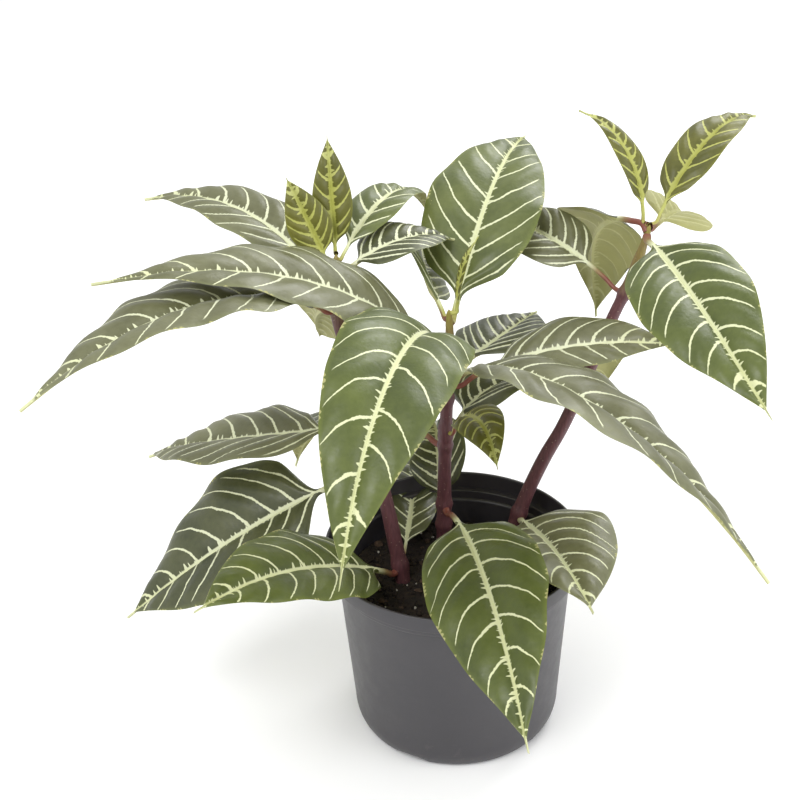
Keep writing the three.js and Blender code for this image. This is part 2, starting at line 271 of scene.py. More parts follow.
def rings_of(name, sides, root):
    """Rings of a solid in mm, from the end nearest root, with matching points in line."""
    points, near = welded(name)
    ends = [i for i, around in enumerate(near) if len(around) == sides]
    ends.sort(key=lambda i: np.linalg.norm(points[i] - root))
    seen = {ends[0]}
    level = [ends[0]]
    rings = []
    while True:
        level = sorted({k for i in level for k in near[i]} - seen)
        seen.update(level)
        if len(level) < sides:
            break
        ring = points[in_order(level, near)]
        if rings:
            last = rings[-1] - rings[-1].mean(0)
            turns = [np.roll(flip, k, 0) for flip in (ring, ring[::-1]) for k in range(sides)]
            ring = min(turns, key=lambda r: np.sum((r - r.mean(0) - last) ** 2))
        rings.append(ring)
    return np.array(rings)


stem_roots = {
    "centre_stem": np.array([-8, 39, 58]),
    "left_stem": np.array([-26, -3, 58]),
    "right_stem": np.array([24, 30, 58]),
}
STEM_SIDES = 10
stem_rings = {name: rings_of(name, STEM_SIDES, root) for name, root in stem_roots.items()}
print({name: rings.shape for name, rings in stem_rings.items()})

# %% [markdown]
# ## Curves through known places
# A solid has only a dozen rings, and the finished piece wants a hundred. A cubic that takes its
# slopes from the neighbouring rings runs through every one of them without a kink.

# %% Smooth curve and small helpers


def smooth(values, places, wanted):
    """Values at the wanted places, on a smooth curve through the known ones."""
    values = np.asarray(values, float)
    places = np.asarray(places, float)
    slopes = np.gradient(values, places, axis=0)
    i = np.clip(np.searchsorted(places, wanted) - 1, 0, len(places) - 2)
    gap = places[i + 1] - places[i]
    t = (wanted - places[i]) / gap
    if values.ndim > 1:
        gap, t = gap[:, None], t[:, None]
    start = (1 + 2 * t) * (1 - t) ** 2 * values[i] + t * (1 - t) ** 2 * gap * slopes[i]
    end = t ** 2 * (3 - 2 * t) * values[i + 1] + t ** 2 * (t - 1) * gap * slopes[i + 1]
    return start + end


def unit(vectors):
    return vectors / np.linalg.norm(vectors, axis=-1, keepdims=True)


def ease(value, low, high):
    """0 below low, 1 above high, and a soft step between."""
    t = np.clip((value - low) / (high - low), 0, 1)
    return t * t * (3 - 2 * t)


def lengths_along(points):
    return np.concatenate([[0], np.cumsum(np.linalg.norm(np.diff(points, axis=0), axis=1))])


def wander(place, seed, reach):
    """A slow random drift between -1 and 1 along a length; reach is its wavelength."""
    return np.array([noise.noise(Vector((p / reach, seed * 7.3, 0.5))) for p in np.atleast_1d(place)])


print("half way on a soft step:", float(ease(0.5, 0, 1)))

# %% [markdown]
# ## The pot's plastic
# A nursery pot is injection moulded polypropylene coloured with carbon black and recycled
# stock. The steel mould leaves a satin skin with a very fine grain. The eye gets a soft, wide
# highlight, faint cloudiness in the grey, and a dusting of soil where the pot has been handled.

# %% Moulded polypropylene
POLYPROPYLENE_IOR = 1.49
MOULD_GRAIN = 0.6 * MM  # the real grain is near 0.1 mm; drawn coarser so that it shows
SCUFF_SIZE = 9 * MM


def moulded_polypropylene():
    material, shader = new_material("polypropylene_moulded_satin")
    place = add_node(material, "TexCoord").outputs["Object"]
    cloud = add_node(material, "TexNoise", {"Vector": place, "Scale": 1 / (45 * MM), "Detail": 3.0})
    tone = add_node(material, "Mix", {
        0: cloud, 6: linear("#27252a"), 7: linear("#353236")}, data_type="RGBA")
    scuff = add_node(material, "TexNoise", {
        "Vector": place, "Scale": 1 / SCUFF_SIZE, "Detail": 8.0, "Roughness": 0.7})
    worn = add_node(material, "MapRange", {
        "Value": scuff, "From Min": 0.56, "From Max": 0.74, "To Max": 0.45})
    height = add_node(material, "SeparateXYZ", {0: place})
    low = add_node(material, "MapRange", {
        "Value": height.outputs["Z"], "From Min": 28 * MM, "From Max": 2 * MM, "To Max": 0.5})
    dust = add_node(material, "Math", {0: worn, 1: low}, operation="MULTIPLY")
    dusty = add_node(material, "Mix", {
        0: dust, 6: tone.outputs[2], 7: linear("#7c7368")}, data_type="RGBA")
    edge = add_node(material, "Math", {0: worn, 1: 0.22}, operation="MULTIPLY")
    final = add_node(material, "Mix", {
        0: edge, 6: dusty.outputs[2], 7: linear("#66636a")}, data_type="RGBA")
    sheen = add_node(material, "MapRange", {
        "Value": scuff, "From Min": 0.3, "From Max": 0.7, "To Min": 0.36, "To Max": 0.48})
    grain = add_node(material, "TexNoise", {"Vector": place, "Scale": 1 / MOULD_GRAIN, "Detail": 2.0})
    bump = add_node(material, "Bump", {"Height": grain, "Strength": 0.12, "Distance": 0.1 * MM})
    link = material.node_tree.links.new
    link(final.outputs[2], shader.inputs["Base Color"])
    link(sheen.outputs[0], shader.inputs["Roughness"])
    link(bump.outputs[0], shader.inputs["Normal"])
    shader.inputs["IOR"].default_value = POLYPROPYLENE_IOR
    shader.inputs["Specular IOR Level"].default_value = 0.75
    return material


pot_plastic = moulded_polypropylene()
print("material:", pot_plastic.name)

# %% [markdown]
# ## The pot
# The real pot comes out of its mould in one shot: a tapered wall, a band that stiffens the lip,
# a step inside it where pots nest, and notches under the floor that let water out. Turning one
# outline about the axis gives all of it but the notches, which are cut afterwards. The
# outline's corners get small arcs, because moulded plastic has no sharp edge.

# %% Turn the pot
POT_TURNS = 144  # points round the pot
POT_HEIGHT = 120  # mm, as are all the sizes below
RIM = 75  # outside radius of the lip
BAND = 10  # height of the stiffening band
SHOULDER = 68.5  # outside radius just under the band
FOOT = 61.5  # outside radius above the bottom corner
BASE = 55  # radius of the ring that the pot stands on
CORNER = 14  # height of the bottom corner's curve
WALL = 1.8
FLOOR_THICKNESS = 2.4
FLOOR_LIFT = 0.9  # the middle of the floor stands clear of the ground
MOUTH_STEP = 14  # depth of the ledge where stacked pots rest


def rounded(outline, radii, steps=4):
    """An open outline with each inner corner replaced by a small curve of its own size."""
    outline = [np.array(p, float) for p in outline]
    points = [outline[0]]
    for before, corner, after, radius in zip(outline, outline[1:], outline[2:], radii):
        into, out = before - corner, after - corner
        reach = min(radius, np.linalg.norm(into) * 0.45, np.linalg.norm(out) * 0.45)
        start, end = corner + unit(into) * reach, corner + unit(out) * reach
        for t in np.linspace(0, 1, steps):
            points.append((1 - t) ** 2 * start + 2 * t * (1 - t) * corner + t * t * end)
    return points + [outline[-1]]


def pot_outline():
    corner_turns = np.linspace(0, math.pi / 2, 9)
    flare = FOOT - BASE
    depth = CORNER - FLOOR_THICKNESS
    outside = [(BASE + flare * math.sin(t), CORNER * (1 - math.cos(t))) for t in corner_turns]
    inside = [(BASE - WALL + flare * math.sin(t), CORNER - depth * math.cos(t))
              for t in corner_turns[::-1]]
    band_foot = POT_HEIGHT - BAND
    rim = [
        (SHOULDER, band_foot), (RIM - 0.4, band_foot), (RIM, POT_HEIGHT),
        (RIM - WALL, POT_HEIGHT), (RIM - WALL - 0.8, POT_HEIGHT - MOUTH_STEP),
        (SHOULDER - WALL, POT_HEIGHT - MOUTH_STEP - 1.5),
    ]
    corners = [outside[-1], *rim, inside[0]]
    shaped = rounded(corners, [0.8, 1.2, 0.9, 0.9, 1.5, 1.5])
    underneath = [(0.0, FLOOR_LIFT), (BASE - 6, FLOOR_LIFT), (BASE - 4.5, 0.0)]
    return [*underneath, *outside[:-1], *shaped, *inside[1:], (0.0, FLOOR_THICKNESS)]


def turned(outline, turns):
    """Points and faces of an outline of (radius, height) turned about the Z axis."""
    angles = np.arange(turns) * 2 * math.pi / turns
    points, faces = [(0, 0, outline[0][1])], []
    for radius, height in outline[1:-1]:
        points += [(radius * math.cos(a), radius * math.sin(a), height) for a in angles]
    points.append((0, 0, outline[-1][1]))
    last = len(points) - 1
    faces += [(0, 1 + (j + 1) % turns, 1 + j) for j in range(turns)]
    faces += tube_faces(len(outline) - 2, turns, 1)
    top = last - turns
    faces += [(last, top + j, top + (j + 1) % turns) for j in range(turns)]
    return np.array(points) * MM, faces


pot_points, pot_faces = turned(pot_outline(), POT_TURNS)
pot_mesh = new_mesh("pot_shell", pot_points, pot_faces, [pot_plastic], 35)
pot_piece = show("pot_shell", pot_mesh, "pot", "pot")
print("pot points:", len(pot_points))

# %% [markdown]
# ## Drain notches
# Each notch is a low arch where the wall meets the floor. A cutter with an arched outline is
# pushed through the wall and taken away with a boolean, the same way a mould's insert shapes it.

# %% Cut the drain notches
DRAIN_COUNT = 4
DRAIN_WIDTH = 24
DRAIN_HEIGHT = 5.2
DRAIN_FIRST = math.radians(60)
DRAIN_INNER, DRAIN_OUTER = 48, 72  # radii between which the cutter reaches


def drain_cutter():
    """All the notches as one mesh: an arch drawn along each notch's direction."""
    arch = [(-DRAIN_WIDTH / 2, -3.0)]
    for t in np.linspace(-1, 1, 13):
        arch.append((t * DRAIN_WIDTH / 2, DRAIN_HEIGHT * (1 - abs(t) ** 3.5)))
    arch.append((DRAIN_WIDTH / 2, -3.0))
    points, faces = [], []
    count = len(arch)
    for k in range(DRAIN_COUNT):
        turn = DRAIN_FIRST + k * 2 * math.pi / DRAIN_COUNT
        first = len(points)
        for out in (DRAIN_INNER, DRAIN_OUTER):
            for side, up in arch:
                points.append(((out * math.cos(turn) - side * math.sin(turn)) * MM,
                               (out * math.sin(turn) + side * math.cos(turn)) * MM, up * MM))
        for j in range(count):
            a, b = first + j, first + (j + 1) % count
            faces.append((a, b, b + count, a + count))
        faces.append(tuple(first + j for j in reversed(range(count))))
        faces.append(tuple(first + count + j for j in range(count)))
    return points, faces


def cut_drains(piece):
    mesh = bpy.data.meshes.new("cutter")
    points, faces = drain_cutter()
    mesh.from_pydata(points, [], faces)
    shape = bmesh.new()
    shape.from_mesh(mesh)
    bmesh.ops.recalc_face_normals(shape, faces=shape.faces)
    shape.to_mesh(mesh)
    shape.free()
    cutter = bpy.data.objects.new("cutter", mesh)
    bpy.context.scene.collection.objects.link(cutter)
    cut = piece.modifiers.new("drains", "BOOLEAN")
    cut.operation = "DIFFERENCE"
    cut.solver = "EXACT"
    cut.object = cutter
    bpy.context.view_layer.update()
    evaluated = piece.evaluated_get(bpy.context.evaluated_depsgraph_get())
    finished = bpy.data.meshes.new_from_object(evaluated)
    piece.modifiers.clear()
    piece.data = finished
    bpy.data.objects.remove(cutter)
    return len(finished.polygons)


print("pot faces after the cut:", cut_drains(pot_piece))

# %% [markdown]
# ## Potting soil
# The mix is dark peat with bits of bark and a few pale grains of perlite. Damp peat is almost
# black and very matt. The surface is a disc of points lifted by layers of noise, and loose
# crumbs are scattered over it, because the outline of the crumbs is what tells the eye that
# it is earth.

# %% Peat and perlite
CRUMB_SIZE = 2.2 * MM
PEAT_IOR = 1.45


def damp_peat(name, dark, light):
    """Peat or grit: matt, mottled in two tones, with painted shade in the gaps between crumb-sized
    cells, and a broken surface.
    """
    material, shader = new_material(name)
    place = add_node(material, "TexCoord").outputs["Object"]
    clump = add_node(material, "TexNoise", {
        "Vector": place, "Scale": 1 / (6 * MM), "Detail": 6.0, "Roughness": 0.7})
    crumb = add_node(material, "TexVoronoi", {"Vector": place, "Scale": 1 / CRUMB_SIZE})
    spread = add_node(material, "MapRange", {"Value": clump, "From Min": 0.35, "From Max": 0.7})
    tone = add_node(material, "Mix", {0: spread, 6: linear(dark), 7: linear(light)}, data_type="RGBA")
    # Painted shade: darker towards the edges of crumb-sized cells, where the gaps between crumbs lie.
    crumb_gap_shade = add_node(material, "MapRange", {
        "Value": crumb.outputs["Distance"], "From Min": 0.1, "From Max": 0.6, "To Max": 0.5})
    final = add_node(material, "Mix", {0: crumb_gap_shade, 6: tone.outputs[2], 7: linear(dark)}, data_type="RGBA")
    bump = add_node(material, "Bump", {"Height": clump, "Strength": 0.8, "Distance": 1.2 * MM})
    link = material.node_tree.links.new
    link(final.outputs[2], shader.inputs["Base Color"])
    link(bump.outputs[0], shader.inputs["Normal"])
    shader.inputs["Roughness"].default_value = 0.92
    shader.inputs["IOR"].default_value = PEAT_IOR
    return material


peat = damp_peat("peat_damp_loose", "#120d0a", "#3a2d22")
bark = damp_peat("bark_chipped", "#2c2018", "#6b5542")
perlite = damp_peat("perlite_expanded", "#a8a49a", "#d9d5cb")
print("soil materials:", peat.name, bark.name, perlite.name)

# %% The soil's surface
SOIL_TOP = 90
SOIL_DOME = 2.5
SOIL_GAP = 0.3  # between the soil and the inside of the wall
WALL_TAPER = (SHOULDER - FOOT) / (POT_HEIGHT - BAND - CORNER)
SOIL_RADIUS = SHOULDER - WALL_TAPER * (POT_HEIGHT - BAND - SOIL_TOP) - WALL - SOIL_GAP
SOIL_RINGS = 46
SOIL_TURNS = 120


def soil_height(x, y):
    """Height of the soil in mm at one place: a low dome, hollows, clods and crumbs."""
    rise = SOIL_DOME * (1 - (x * x + y * y) / SOIL_RADIUS ** 2)
    hollow = 1.6 * noise.noise(Vector((x / 21, y / 21, 3.1)))
    clod = 1.2 * abs(noise.noise(Vector((x / 7, y / 7, 8.2))))
    crumb = 0.8 * noise.noise(Vector((x / 2.4, y / 2.4, 5.5)))
    return SOIL_TOP + rise + hollow + clod + crumb - 0.6


def soil_plug():
    """The surface, with the sides and bottom of the soil as it sits in the pot."""
    points = [(0, 0, soil_height(0, 0))]
    for ring in range(1, SOIL_RINGS + 1):
        radius = SOIL_RADIUS * ring / SOIL_RINGS
        for j in range(SOIL_TURNS):
            turn = 2 * math.pi * j / SOIL_TURNS
            x, y = radius * math.cos(turn), radius * math.sin(turn)
            points.append((x, y, soil_height(x, y)))
    for radius, height in ((FOOT - WALL - 1, CORNER + 2), (BASE - WALL - 8, FLOOR_THICKNESS + 0.3)):
        for j in range(SOIL_TURNS):
            turn = 2 * math.pi * j / SOIL_TURNS
            points.append((radius * math.cos(turn), radius * math.sin(turn), height))
    faces = [(0, 1 + j, 1 + (j + 1) % SOIL_TURNS) for j in range(SOIL_TURNS)]
    faces += [face[::-1] for face in tube_faces(SOIL_RINGS + 2, SOIL_TURNS, 1)]
    faces.append(tuple(len(points) - 1 - j for j in range(SOIL_TURNS)))
    return np.array(points) * MM, faces


soil_mesh = new_mesh("soil_bed", *soil_plug(), [peat], 180)
show("soil_bed", soil_mesh, "soil", "soil")
print("soil points:", len(soil_mesh.vertices))

# %% [markdown]
# ## Crumbs, bark and perlite
# Each loose bit is a small ball of triangles whose points are pushed in and out by noise, then
# squashed and turned its own way. They are all joined into three meshes, one for each
# material, which is far lighter than hundreds of objects.

# %% Scatter the loose bits


def pebble(rng, size, flatness):
    """Points and faces of one irregular bit about the origin, in mm."""
    shape = bmesh.new()
    bmesh.ops.create_icosphere(shape, subdivisions=2 if size > 1.6 else 1, radius=size / 2)
    seed = Vector(rng.uniform(0, 90, 3))
    facing = Matrix.Rotation(rng.uniform(0, 6.28), 3, "Z")
    leaning = Matrix.Rotation(rng.uniform(-0.6, 0.6), 3, "X")
    turn = facing @ leaning
    points = []
    for v in shape.verts:
        push = 1 + 0.55 * noise.noise(v.co * (1.6 / size) + seed)
        points.append(turn @ Vector((v.co.x * push, v.co.y * push * 0.75, v.co.z * push * flatness)))
    faces = [tuple(v.index for v in f.verts) for f in shape.faces]
    shape.free()
    return points, faces


def scatter(name, material, count, sizes, flatness, seed):
    """One mesh of loose bits lying on the soil."""
    rng = np.random.default_rng(seed)
    points, faces = [], []
    for _ in range(count):
        radius = (SOIL_RADIUS - 3) * math.sqrt(rng.uniform(0, 1))
        turn = rng.uniform(0, 2 * math.pi)
        size = rng.uniform(*sizes)
        x, y = radius * math.cos(turn), radius * math.sin(turn)
        bit, bit_faces = pebble(rng, size, flatness)
        centre = Vector((x, y, soil_height(x, y) + size * flatness * 0.2))
        first = len(points)
        points += [(p + centre) * MM for p in bit]
        faces += [tuple(first + i for i in face) for face in bit_faces]
    return show(name, new_mesh(name, points, faces, [material], 50), "soil")


scatter("soil_crumbs", peat, 700, (1.0, 4.2), 0.7, SEED)
scatter("soil_bark", bark, 70, (2.0, 6.5), 0.35, SEED + 1)
scatter("soil_perlite", perlite, 46, (0.8, 2.4), 0.8, SEED + 2)

# %% [markdown]
# ## The stems' skin
# The stems are soft wood, maroon below, where the skin has aged, and yellow-green at the
# growing tip. The skin is smooth with fine lengthwise ridges and small corky dots. A map that
# runs up each stem lets the colour follow its age.

# %% Maroon stem skin
PLANT_IOR = 1.45
STEM_RIDGE = 1.1 * MM


def stem_skin():
    material, shader = new_material("stem_skin_maroon")
    place = add_node(material, "TexCoord").outputs["Object"]
    run = add_node(material, "SeparateXYZ", {0: add_node(material, "UVMap", uv_map="stem_run")})
    squeeze = add_node(material, "Mapping", {"Vector": place, "Scale": (1, 1, 0.12)})
    streak = add_node(material, "TexNoise", {"Vector": squeeze, "Scale": 1 / STEM_RIDGE, "Detail": 4.0})
    mottle = add_node(material, "TexNoise", {"Vector": place, "Scale": 1 / (9 * MM), "Detail": 3.0})
    aged = add_node(material, "Mix", {
        0: streak, 6: linear("#3b2226"), 7: linear("#74484c")}, data_type="RGBA")
    tip = add_node(material, "Mix", {
        0: streak, 6: linear("#77602f"), 7: linear("#9d9a48")}, data_type="RGBA")
    sway = add_node(material, "Math", {
        0: mottle, 1: 0.16, 2: run.outputs["X"]}, operation="MULTIPLY_ADD")
    young = add_node(material, "MapRange", {"Value": sway, "From Min": 0.9, "From Max": 1.08})
    tone = add_node(material, "Mix", {
        0: young, 6: aged.outputs[2], 7: tip.outputs[2]}, data_type="RGBA")
    dot = add_node(material, "TexVoronoi", {"Vector": place, "Scale": 1 / (2.6 * MM)})
    cork = add_node(material, "MapRange", {
        "Value": dot.outputs["Distance"], "From Min": 0.2, "From Max": 0.08, "To Max": 0.55})
    final = add_node(material, "Mix", {
        0: cork, 6: tone.outputs[2], 7: linear("#a08a76")}, data_type="RGBA")
    bump = add_node(material, "Bump", {"Height": streak, "Strength": 0.45, "Distance": 0.5 * MM})
    link = material.node_tree.links.new
    link(final.outputs[2], shader.inputs["Base Color"])
    link(bump.outputs[0], shader.inputs["Normal"])
    shader.inputs["Roughness"].default_value = 0.5
    shader.inputs["IOR"].default_value = PLANT_IOR
    return material


stem_material = stem_skin()
print("material:", stem_material.name)

# %% [markdown]
# ## The stems
# Leaves sit on an Aphelandra in pairs, and the stem swells where each one leaves it. The places
# come from the leaf solids themselves: the first ring of each leaf is next to its stem.

# %% Find where each leaf leaves its stem
LEAF_SIDES = 9
leaf_names = [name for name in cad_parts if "leaf" in name]


def nearest_stem(name):
    """The stem that a leaf belongs to, and the middle of that stem's ring nearest the leaf."""
    points, _ = welded(name)
    best = None
    for stem, rings in stem_rings.items():
        middles = rings.mean(1)
        places = lengths_along(middles)
        fine = smooth(middles, places, np.linspace(0, places[-1], 160))
        gaps = np.linalg.norm(points[:, None] - fine[None], axis=2)
        if best is None or gaps.min() < best[0]:
            best = (gaps.min(), stem, fine[np.unravel_index(gaps.argmin(), gaps.shape)[1]])
    _, stem, place = best
    return stem, place


leaf_stems = {name: nearest_stem(name) for name in leaf_names}
for stem in stem_roots:
    print("leaves on", stem, sum(owner == stem for owner, _ in leaf_stems.values()))

# %% Grow the stems
STEM_TURNS = 24  # points round a stem
STEM_STEP = 1.6  # mm between its rings
NODE_SWELL = 1.0  # mm that a stem gains in radius where a leaf leaves it
NODE_SPREAD = 3.4  # mm over which that swelling fades
TIP_LENGTH = 26  # mm of green growing tip
TIP_SLIMMING = 0.62  # how much thinner the tip is than the woody stem
CAP_LENGTH = 3.0  # mm over which the very end is rounded off


def grow_stem(name, seed):
    rings = stem_rings[name]
    middles = rings.mean(1)
    radii = np.linalg.norm(rings - middles[:, None], axis=2).mean(1)
    places = lengths_along(middles)
    wanted = np.linspace(0, places[-1], int(places[-1] / STEM_STEP))
    line, radius = smooth(middles, places, wanted), smooth(radii, places, wanted)
    swell = wanted * 0
    for stem, point in leaf_stems.values():
        if stem == name:
            at = wanted[np.linalg.norm(line - point, axis=1).argmin()]
            swell = np.maximum(swell, np.exp(-((wanted - at) / NODE_SPREAD) ** 2))
    radius = radius + NODE_SWELL * swell
    radius = radius * (1 - TIP_SLIMMING * ease(wanted, wanted[-1] - TIP_LENGTH, wanted[-1]))
    along = unit(np.gradient(line, axis=0))
    side = unit(np.cross(along, (0.0, 1.0, 0.0)))
    front = np.cross(along, side)
    cap = np.sqrt(np.clip((wanted[-1] - wanted) / CAP_LENGTH, 0.02, 1))
    points = []
    for i, place in enumerate(wanted):
        for j in range(STEM_TURNS):
            turn = 2 * math.pi * j / STEM_TURNS
            ridge = 1 + 0.045 * math.cos(4 * turn) + 0.05 * noise.noise(
                Vector((math.cos(turn) * 2, math.sin(turn) * 2 + seed, place / 26)))
            out = radius[i] * ridge * cap[i]
            offset = side[i] * out * math.cos(turn) + front[i] * out * math.sin(turn)
            points.append((line[i] + offset) * MM)
    points += [line[0] * MM, line[-1] * MM]
    count = len(wanted)
    faces = tube_faces(count, STEM_TURNS)
    foot, top = len(points) - 2, len(points) - 1
    faces += [(foot, (j + 1) % STEM_TURNS, j) for j in range(STEM_TURNS)]
    last = (count - 1) * STEM_TURNS
    faces += [(top, last + j, last + (j + 1) % STEM_TURNS) for j in range(STEM_TURNS)]
    mesh = new_mesh(name + "_skin", points, faces, [stem_material], 180)
    share = np.append(np.repeat(wanted / wanted[-1], STEM_TURNS), [0, 1])
    layer = mesh.uv_layers.new(name="stem_run")
    corners = np.array([loop.vertex_index for loop in mesh.loops])
    layer.data.foreach_set("uv", np.stack([share[corners], share[corners] * 0], 1).ravel())
    return show(name + "_skin", mesh, "stem", name)


for seed, name in enumerate(stem_roots):
    print(grow_stem(name, seed).name)

# %% [markdown]
# ## The leaf's two faces
# A zebra plant's leaf is thick, smooth and waxy on top: dark green, with a cream midrib and
# cream side veins that arch towards the tip. The cream runs out of the midrib in small
# thorns. Underneath it is pale, matt and greyish, with the veins standing proud.
#
# Painting the veins on an image would tie them to one resolution. Here each leaf carries three
# maps instead: its millimetres along and across, its shares of length and width, and a vein
# count that passes a half at every side vein. The material turns those into sharp lines of any
# width, so each leaf has its own veins and all share one material.

# %% The vein pattern as nodes
VEIN_HALF_WIDTH = 0.85  # mm, in the middle of a side vein
RIB_HALF_WIDTH = 1.8  # mm, where the blade begins
THORN_SPACING = 2.4  # mm between the midrib's thorns


def vein_pattern(material, place):
    """How much cream there is (0 to 1), and the three maps that the colours also use."""
    maps = {}
    for name in ("leaf_mm", "leaf_share", "leaf_veins"):
        maps[name] = add_node(material, "SeparateXYZ", {0: add_node(material, "UVMap", uv_map=name)})
    along, across = maps["leaf_mm"].outputs[0], maps["leaf_mm"].outputs[1]
    length_share, width_share = maps["leaf_share"].outputs[0], maps["leaf_share"].outputs[1]
    count, spacing = maps["leaf_veins"].outputs[0], maps["leaf_veins"].outputs[1]

    # Side veins: the line where the count passes a half, with a ragged edge and its own end.
    ragged = add_node(material, "TexNoise", {"Vector": place, "Scale": 1 / (1.5 * MM), "Detail": 2.0})
    drift = add_node(material, "TexNoise", {"Vector": place, "Scale": 1 / (11 * MM), "Detail": 1.0})
    shift = add_node(material, "MapRange", {"Value": drift, "To Min": -0.09, "To Max": 0.09})
    shifted = add_node(material, "Math", {0: count, 1: shift}, operation="ADD")
    part = add_node(material, "Math", {0: shifted}, operation="FRACT")
    off = add_node(material, "Math", {0: part, 1: 0.5}, operation="SUBTRACT")
    away = add_node(material, "Math", {0: off}, operation="ABSOLUTE")
    gap = add_node(material, "Math", {0: away, 1: spacing}, operation="MULTIPLY")
    taper = add_node(material, "MapRange", {
        "Value": width_share, "From Min": 0.25, "From Max": 1.0,
        "To Min": VEIN_HALF_WIDTH, "To Max": 0.5})
    rough_edge = add_node(material, "MapRange", {
        "Value": ragged, "From Min": 0.3, "From Max": 0.7, "To Min": 0.6, "To Max": 1.3})
    half = add_node(material, "Math", {0: taper, 1: rough_edge}, operation="MULTIPLY")
    inside = add_node(material, "Math", {0: half, 1: gap}, operation="SUBTRACT")
    line = add_node(material, "MapRange", {"Value": inside, "From Min": -0.25, "From Max": 0.12})
    number = add_node(material, "Math", {0: shifted}, operation="FLOOR")
    chance = add_node(material, "TexWhiteNoise", {"W": number}, noise_dimensions="1D")
    stop = add_node(material, "MapRange", {"Value": chance, "To Min": 0.86, "To Max": 0.97})
    left = add_node(material, "Math", {0: stop, 1: width_share}, operation="SUBTRACT")
    ended = add_node(material, "MapRange", {"Value": left, "From Min": -0.03, "From Max": 0.02})
    side_vein = add_node(material, "Math", {0: line, 1: ended}, operation="MULTIPLY")

    # The midrib: a narrowing band, with thorns of cream that differ from side to side.
    width = add_node(material, "MapRange", {
        "Value": length_share, "From Min": 0.0, "From Max": 1.0,
        "To Min": RIB_HALF_WIDTH, "To Max": 0.6})
    beat = add_node(material, "Math", {0: along, 1: 1 / THORN_SPACING}, operation="MULTIPLY")
    side = add_node(material, "Math", {0: across}, operation="SIGN")
    offset = add_node(material, "Math", {0: side, 1: 40.0, 2: beat}, operation="MULTIPLY_ADD")
    spike = add_node(material, "TexNoise", {
        "W": offset, "Scale": 1.0, "Detail": 1.0}, noise_dimensions="1D")
    tall = add_node(material, "MapRange", {
        "Value": spike, "From Min": 0.52, "From Max": 0.8, "To Max": 2.6})
    later = add_node(material, "MapRange", {
        "Value": length_share, "From Min": 0.1, "From Max": 0.5, "To Min": 0.3})
    thorn = add_node(material, "Math", {0: tall, 1: later}, operation="MULTIPLY")
    reach = add_node(material, "Math", {0: width, 1: thorn}, operation="ADD")
    aside = add_node(material, "Math", {0: across}, operation="ABSOLUTE")
    within = add_node(material, "Math", {0: reach, 1: aside}, operation="SUBTRACT")
    midrib = add_node(material, "MapRange", {"Value": within, "From Min": -0.2, "From Max": 0.3})
    cream = add_node(material, "Math", {0: midrib, 1: side_vein}, operation="MAXIMUM")
    return cream, along, length_share, width_share


# %% [markdown]
# All the waxy blades share one recipe: old leaves are deep green, fresh ones bright, and the
# youngest olive with a yellow rib. Some old leaves get lighter, greyer greens: painted sheen
# that stands for the grey highlight of the lamps on their wax. The shader's wax also gives a
# broad grey highlight, and the tiny pits between the veins break it up, like fine leather.

# %% Waxy upper faces
PIT_SIZE = 1.7 * MM  # small cells that show between the veins


def waxy_blade(name, dark, light, vein, tip, stalk_tones, roughness=0.4):
    material, shader = new_material(name)
    place = add_node(material, "TexCoord").outputs["Object"]
    cream, along, length_share, width_share = vein_pattern(material, place)
    broad = add_node(material, "TexNoise", {"Vector": place, "Scale": 1 / (26 * MM), "Detail": 4.0})
    fine = add_node(material, "TexNoise", {"Vector": place, "Scale": 1 / (3 * MM), "Detail": 4.0})
    blend = add_node(material, "Math", {0: fine, 1: 0.35, 2: broad}, operation="MULTIPLY_ADD")
    spread = add_node(material, "MapRange", {"Value": blend, "From Min": 0.45, "From Max": 0.9})
    green = add_node(material, "Mix", {0: spread, 6: linear(dark), 7: linear(light)}, data_type="RGBA")
    edge = add_node(material, "MapRange", {
        "Value": width_share, "From Min": 0.9, "From Max": 1.0, "To Max": 0.35})
    edged = add_node(material, "Mix", {0: edge, 6: green.outputs[2], 7: linear(tip)}, data_type="RGBA")
    end = add_node(material, "MapRange", {
        "Value": length_share, "From Min": 0.88, "From Max": 1.0, "To Max": 0.6})
    blade = add_node(material, "Mix", {0: end, 6: edged.outputs[2], 7: linear(tip)}, data_type="RGBA")
    vein_end = add_node(material, "MapRange", {
        "Value": length_share, "From Min": 0.55, "From Max": 1.0, "To Max": 0.6})
    line = add_node(material, "Mix", {
        0: vein_end, 6: linear(vein), 7: linear("#cbce92")}, data_type="RGBA")
    striped = add_node(material, "Mix", {
        0: cream, 6: blade.outputs[2], 7: line.outputs[2]}, data_type="RGBA")
    base = add_node(material, "MapRange", {"Value": along, "From Min": 2.0, "From Max": -7.0})
    stalk = add_node(material, "MapRange", {"Value": along, "From Min": -14.0, "From Max": -2.0})
    stalk_tone = add_node(material, "Mix", {
        0: stalk, 6: linear(stalk_tones[0]), 7: linear(stalk_tones[1])}, data_type="RGBA")
    final = add_node(material, "Mix", {
        0: base, 6: striped.outputs[2], 7: stalk_tone.outputs[2]}, data_type="RGBA")
    pit = add_node(material, "TexVoronoi", {
        "Vector": place, "Scale": 1 / PIT_SIZE}, feature="SMOOTH_F1")
    skin = add_node(material, "Math", {
        0: pit.outputs["Distance"], 1: 0.35, 2: fine}, operation="MULTIPLY_ADD")
    sunk = add_node(material, "Math", {0: cream, 1: -0.35, 2: skin}, operation="MULTIPLY_ADD")
    bump = add_node(material, "Bump", {"Height": sunk, "Strength": 0.3, "Distance": 0.6 * MM})
    gloss = add_node(material, "MapRange", {"Value": fine, "From Min": 0.3, "From Max": 0.7,
                                            "To Min": roughness - 0.05, "To Max": roughness + 0.09})
    link = material.node_tree.links.new
    link(final.outputs[2], shader.inputs["Base Color"])
    link(gloss.outputs[0], shader.inputs["Roughness"])
    link(bump.outputs[0], shader.inputs["Normal"])
    shader.inputs["IOR"].default_value = PLANT_IOR
    shader.inputs["Specular IOR Level"].default_value = 0.6
    return material


